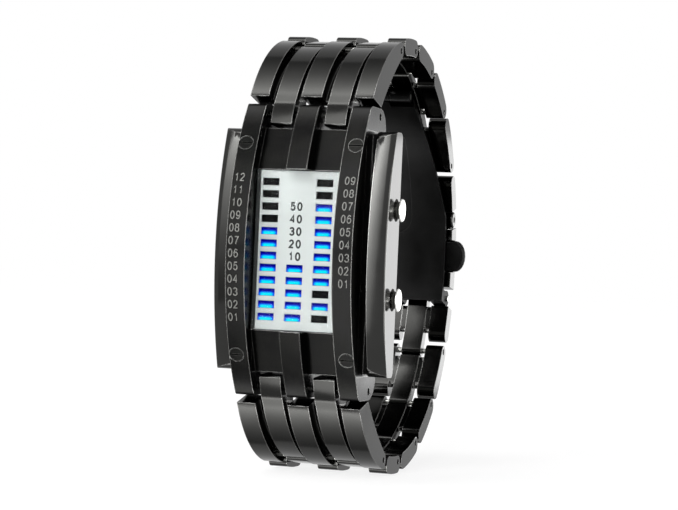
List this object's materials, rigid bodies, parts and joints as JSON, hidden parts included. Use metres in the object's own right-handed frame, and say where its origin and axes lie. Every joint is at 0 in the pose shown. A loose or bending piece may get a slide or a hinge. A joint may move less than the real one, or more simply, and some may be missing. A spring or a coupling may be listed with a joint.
{
  "type": "wristwatch",
  "caption": "Rectangular wristwatch that tells the time by rows of small lights, with a black steel case, side guards, link bracelet and push-button folding clasp.",
  "frame": {"origin": "middle of the outer face of the case back", "axes": "+Z toward the upper lugs (12 o'clock), -Y out of the display toward the viewer, +Y out of the case back toward the wrist, +X to the side with the push-buttons"},
  "size_m": [0.0303, 0.0708, 0.0752],
  "materials": {
    "black_steel": "polished, black ion plating",
    "body_steel": "polished, black ion plating",
    "screw_steel": "polished",
    "pin_steel": "plain",
    "back_steel": "brushed, bare steel",
    "button_steel": "polished",
    "spring_steel": "plain",
    "mineral_glass": "clear, flat",
    "gasket_rubber": "matte",
    "silver_plate": "fine satin, silver",
    "lit_lens": "clear plastic over a lit blue-white LED",
    "dark_lens": "clear plastic over a dark LED",
    "led_body": "LED package",
    "board": "green solder mask",
    "holder_plastic": "moulded black",
    "cell_steel": "nickel-plated",
    "contact_brass": "spring bronze"
  },
  "bodies": {
    "case": {"case_body": "body_steel", "left_rail": "black_steel", "right_rail": "black_steel", "rail_screws": "screw_steel", "centre_bars": "black_steel", "left_guard": "black_steel", "right_guard": "black_steel", "crystal": "mineral_glass", "crystal_gasket": "gasket_rubber", "display_plate": "silver_plate", "lit_lenses": "lit_lens", "dark_lenses": "dark_lens", "led_chips": "led_body", "circuit_board": "board", "module_holder": "holder_plastic", "battery": "cell_steel", "battery_contact": "contact_brass", "case_back": "back_steel", "case_back_gasket": "gasket_rubber", "case_back_screws": "screw_steel", "lug_pins": "pin_steel", "button_seals": "gasket_rubber"},
    "upper_button": {"upper_button": "button_steel", "upper_button_clip": "spring_steel", "upper_button_spring": "spring_steel"},
    "lower_button": {"lower_button": "button_steel", "lower_button_clip": "spring_steel", "lower_button_spring": "spring_steel"},
    "upper_link_1": {"upper_link_1": "black_steel", "upper_pin_2": "pin_steel"},
    "upper_link_2": {"upper_link_2": "black_steel", "upper_pin_3": "pin_steel"},
    "upper_link_3": {"upper_link_3": "black_steel", "upper_pin_4": "pin_steel"},
    "upper_link_4": {"upper_link_4": "black_steel", "upper_pin_5": "pin_steel"},
    "upper_link_5": {"upper_link_5": "black_steel", "upper_pin_6": "pin_steel"},
    "upper_link_6": {"upper_link_6": "black_steel"},
    "lower_link_1": {"lower_link_1": "black_steel", "lower_pin_2": "pin_steel"},
    "lower_link_2": {"lower_link_2": "black_steel", "lower_pin_3": "pin_steel"},
    "lower_link_3": {"lower_link_3": "black_steel", "lower_pin_4": "pin_steel"},
    "lower_link_4": {"lower_link_4": "black_steel", "lower_pin_5": "pin_steel"},
    "lower_link_5": {"lower_link_5": "black_steel", "lower_pin_6": "pin_steel"},
    "lower_link_6": {"lower_link_6": "black_steel"},
    "clasp_base": {"clasp_base": "black_steel", "lower_clasp_pin": "pin_steel", "fold_hinge_pin": "pin_steel"},
    "clasp_leaf": {"clasp_leaf": "black_steel", "clasp_housing": "black_steel", "upper_clasp_pin": "pin_steel"},
    "left_clasp_button": {"left_clasp_button": "button_steel", "left_clasp_spring": "spring_steel"},
    "right_clasp_button": {"right_clasp_button": "button_steel", "right_clasp_spring": "spring_steel"}
  },
  "joints": [
    {"name": "upper_button_push", "type": "slide", "parent": "case", "child": "upper_button", "axis": [-1, 0, 0], "range_m": [0, 0.0007], "stiffness_N_per_m": 1200, "springref_m": -0.0005, "deforming": ["upper_button_spring"]},
    {"name": "lower_button_push", "type": "slide", "parent": "case", "child": "lower_button", "axis": [-1, 0, 0], "range_m": [0, 0.0007], "stiffness_N_per_m": 1200, "springref_m": -0.0005, "deforming": ["lower_button_spring"]},
    {"name": "left_clasp_button_push", "type": "slide", "parent": "clasp_leaf", "child": "left_clasp_button", "axis": [1, 0, 0], "range_m": [0, 0.0008], "stiffness_N_per_m": 1200, "springref_m": -0.0005, "deforming": ["left_clasp_spring"]},
    {"name": "right_clasp_button_push", "type": "slide", "parent": "clasp_leaf", "child": "right_clasp_button", "axis": [-1, 0, 0], "range_m": [0, 0.0008], "stiffness_N_per_m": 1200, "springref_m": -0.0005, "deforming": ["right_clasp_spring"]},
    {"name": "clasp_fold", "type": "hinge", "parent": "clasp_base", "child": "clasp_leaf", "pos_m": [0, 0.03565, 0.02901], "axis": [1, 0, 0], "range_deg": [0, 90]},
    {"name": "upper_pivot_1", "type": "hinge", "parent": "case", "child": "upper_link_1", "pos_m": [0, -0.0009, 0.0226], "axis": [1, 0, 0], "range_deg": [0, 3.01]},
    {"name": "upper_pivot_2", "type": "hinge", "parent": "upper_link_1", "child": "upper_link_2", "pos_m": [0, 0.01057, 0.03471], "axis": [1, 0, 0], "range_deg": [0, 19.81]},
    {"name": "upper_pivot_3", "type": "hinge", "parent": "upper_link_2", "child": "upper_link_3", "pos_m": [0, 0.02015, 0.03568], "axis": [1, 0, 0], "range_deg": [0, 27.41]},
    {"name": "upper_pivot_4", "type": "hinge", "parent": "upper_link_3", "child": "upper_link_4", "pos_m": [0, 0.03204, 0.03319], "axis": [1, 0, 0], "range_deg": [0, 26.81]},
    {"name": "upper_pivot_5", "type": "hinge", "parent": "upper_link_4", "child": "upper_link_5", "pos_m": [0, 0.04242, 0.02686], "axis": [1, 0, 0], "range_deg": [-2.91, 0]},
    {"name": "upper_pivot_6", "type": "hinge", "parent": "upper_link_5", "child": "upper_link_6", "pos_m": [0, 0.05006, 0.01742], "axis": [1, 0, 0], "range_deg": [-17.11, 0]},
    {"name": "lower_pivot_1", "type": "hinge", "parent": "case", "child": "lower_link_1", "pos_m": [0, -0.0009, -0.0226], "axis": [1, 0, 0], "range_deg": [0, 3.01]},
    {"name": "lower_pivot_2", "type": "hinge", "parent": "lower_link_1", "child": "lower_link_2", "pos_m": [0, 0.01057, -0.03471], "axis": [1, 0, 0], "range_deg": [0, 14.11]},
    {"name": "lower_pivot_3", "type": "hinge", "parent": "lower_link_2", "child": "lower_link_3", "pos_m": [0, 0.02015, -0.03568], "axis": [1, 0, 0], "range_deg": [0, 4.61]},
    {"name": "lower_pivot_4", "type": "hinge", "parent": "lower_link_3", "child": "lower_link_4", "pos_m": [0, 0.03204, -0.03319], "axis": [1, 0, 0], "range_deg": [-3.31, 0]},
    {"name": "lower_pivot_5", "type": "hinge", "parent": "lower_link_4", "child": "lower_link_5", "pos_m": [0, 0.04242, -0.02686], "axis": [1, 0, 0], "range_deg": [-6.51, 0]},
    {"name": "lower_pivot_6", "type": "hinge", "parent": "lower_link_5", "child": "lower_link_6", "pos_m": [0, 0.05006, -0.01742], "axis": [1, 0, 0], "range_deg": [-8.01, 0]},
    {"name": "lower_clasp_pivot", "type": "hinge", "parent": "lower_link_6", "child": "clasp_base", "pos_m": [0, 0.05402, -0.00746], "axis": [1, 0, 0], "range_deg": [-11.71, 0]}
  ],
  "couplings": [
    {"joint": "upper_pivot_1", "follows": "clasp_fold", "ratio": 0.033333},
    {"joint": "upper_pivot_2", "follows": "clasp_fold", "ratio": 0.22},
    {"joint": "upper_pivot_3", "follows": "clasp_fold", "ratio": 0.30444},
    {"joint": "upper_pivot_4", "follows": "clasp_fold", "ratio": 0.29778},
    {"joint": "upper_pivot_5", "follows": "clasp_fold", "ratio": -0.032222},
    {"joint": "upper_pivot_6", "follows": "clasp_fold", "ratio": -0.19},
    {"joint": "lower_pivot_1", "follows": "clasp_fold", "ratio": 0.033333},
    {"joint": "lower_pivot_2", "follows": "clasp_fold", "ratio": 0.15667},
    {"joint": "lower_pivot_3", "follows": "clasp_fold", "ratio": 0.051111},
    {"joint": "lower_pivot_4", "follows": "clasp_fold", "ratio": -0.036667},
    {"joint": "lower_pivot_5", "follows": "clasp_fold", "ratio": -0.072222},
    {"joint": "lower_pivot_6", "follows": "clasp_fold", "ratio": -0.088889},
    {"joint": "lower_clasp_pivot", "follows": "clasp_fold", "ratio": -0.13}
  ]
}
